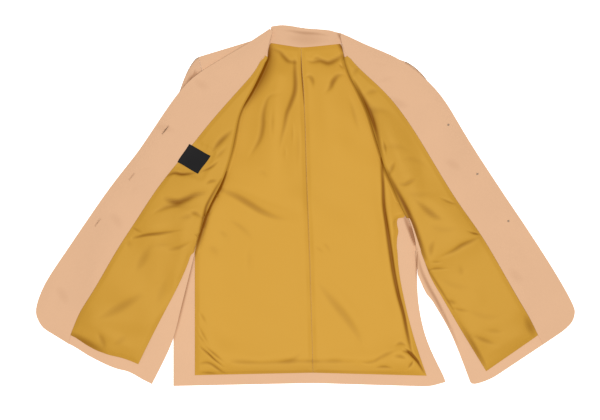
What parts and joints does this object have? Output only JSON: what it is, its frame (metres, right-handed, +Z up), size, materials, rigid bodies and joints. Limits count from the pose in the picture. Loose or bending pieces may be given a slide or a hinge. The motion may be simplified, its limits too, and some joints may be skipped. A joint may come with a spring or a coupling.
{
  "type": "wool jacket",
  "caption": "Lined wool jacket laid flat on its back and opened wide, each front folded out over its sleeve so that the lining and facings show.",
  "frame": {"origin": "middle of the jacket's outline as it lies, on the surface it rests on", "axes": "+X towards the wearer's left, +Y towards the collar, +Z up from the surface"},
  "size_m": [1.078, 0.722, 0.0192],
  "materials": {
    "wool": "matt fine wool, peach",
    "lining": "soft satin sheen, mustard",
    "label": "woven, slight sheen, near black, bare",
    "button": "polished, tan"
  },
  "bodies": {
    "root": {"back": "wool", "lining_back_right": "lining", "lining_back_left": "lining", "collar": "wool", "sleeve_right": "wool", "sleeve_left": "wool", "front_right": "wool", "front_left": "wool", "facing_right": "wool", "facing_left": "wool", "lining_front_right": "lining", "lining_front_left": "lining", "label": "label", "button_1": "button", "button_2": "button", "button_3": "button"}
  },
  "joints": []
}
